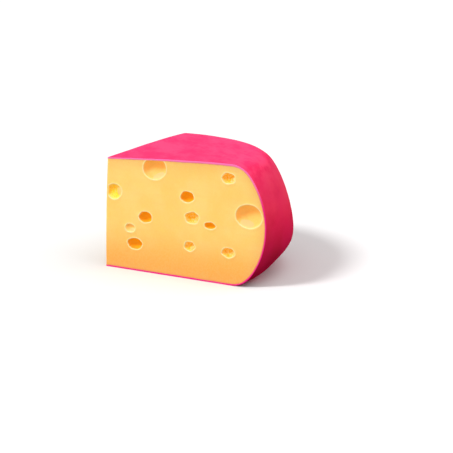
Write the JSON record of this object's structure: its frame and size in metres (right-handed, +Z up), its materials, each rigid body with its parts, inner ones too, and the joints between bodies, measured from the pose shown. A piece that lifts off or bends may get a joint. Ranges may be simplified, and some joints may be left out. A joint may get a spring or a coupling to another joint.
{
  "type": "cheese wedge",
  "caption": "Quarter wedge of a semi-hard waxed cheese wheel with round eyes on both cut faces and a thin pink wax coat on top, rim and base.",
  "frame": {"origin": "below the middle of the wedge's box, on the surface it stands on", "axes": "+Z up along the wheel's axis, +X from the thin edge towards the waxed rim, +Y across the wedge towards the back cut face"},
  "size_m": [0.1244, 0.1726, 0.077],
  "materials": {
    "paste": "satin",
    "wax": "satin"
  },
  "bodies": {
    "root": {"cheese_paste": "paste", "wax_coat": "wax"}
  },
  "joints": []
}
